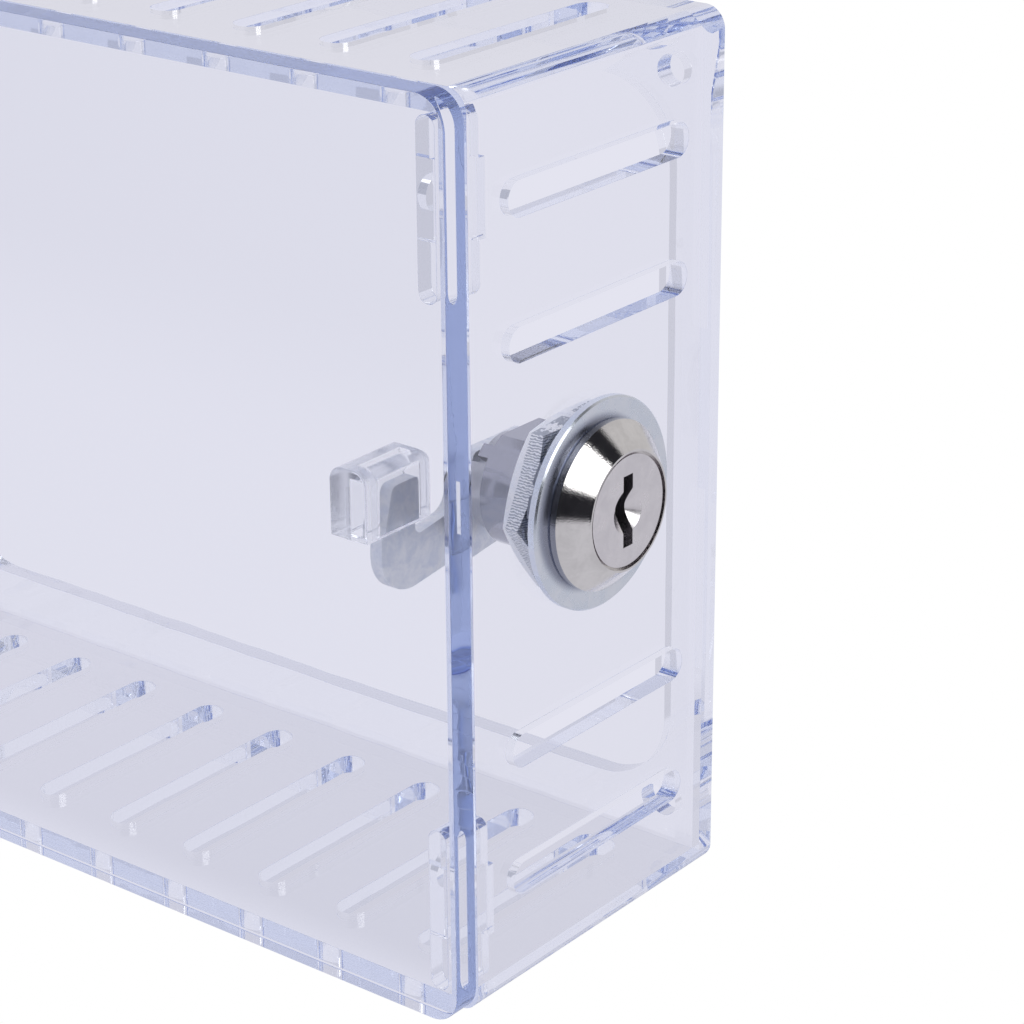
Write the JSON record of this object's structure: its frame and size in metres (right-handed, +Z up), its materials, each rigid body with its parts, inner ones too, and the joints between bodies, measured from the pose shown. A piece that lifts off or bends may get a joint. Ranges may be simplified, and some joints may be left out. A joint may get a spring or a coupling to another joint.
{
  "type": "thermostat lock box",
  "caption": "Clear slotted guard box that screws to the wall over a thermostat, with a hinged front door and a key-operated cam lock in its side.",
  "frame": {"origin": "centre of the four screw holes, on the plane of the wall behind the box", "axes": "+Y points into the wall and the door faces -Y; +Z is up; +X is to the right as one faces the door, toward the lock"},
  "size_m": [0.1788, 0.06, 0.13],
  "materials": {
    "clear_box": "clear, polished, faint lavender tint",
    "clear_door": "clear, polished, faint lavender tint",
    "clear_block": "clear, polished",
    "pin_steel": "satin",
    "lock_chrome": "polished",
    "washer_zinc": "polished zinc plate",
    "tooth_washer_zinc": "zinc plate",
    "nut_zinc": "zinc plate",
    "plug_nickel": "satin",
    "stop_washer_zinc": "zinc plate",
    "cam_zinc": "mottled zinc plate",
    "screw_steel": "zinc plate",
    "wafer_brass": "stamped",
    "spring_steel": "drawn wire"
  },
  "bodies": {
    "box": {"base_box": "clear_box", "upper_hinge_pin": "pin_steel", "lower_hinge_pin": "pin_steel", "lock_housing": "lock_chrome", "trim_washer": "washer_zinc", "tooth_washer": "tooth_washer_zinc", "lock_nut": "nut_zinc"},
    "door": {"front_door": "clear_door", "catch_block": "clear_block"},
    "lock_core": {"lock_plug": "plug_nickel", "wafer_1": "wafer_brass", "wafer_2": "wafer_brass", "wafer_3": "wafer_brass", "wafer_4": "wafer_brass", "wafer_5": "wafer_brass", "wafer_spring_1": "spring_steel", "wafer_spring_2": "spring_steel", "wafer_spring_3": "spring_steel", "wafer_spring_4": "spring_steel", "wafer_spring_5": "spring_steel", "stop_washer": "stop_washer_zinc", "cam": "cam_zinc", "cam_spring_washer": "screw_steel", "cam_screw": "screw_steel"}
  },
  "joints": [
    {"name": "door_hinge", "type": "hinge", "parent": "box", "child": "door", "pos_m": [-0.0867, -0.0556, 0], "axis": [0, 0, -1], "range_deg": [0, 170]},
    {"name": "lock_turn", "type": "hinge", "parent": "box", "child": "lock_core", "pos_m": [0.0835, -0.0288, 0.0024], "axis": [1, 0, 0], "range_deg": [0, 90]}
  ]
}
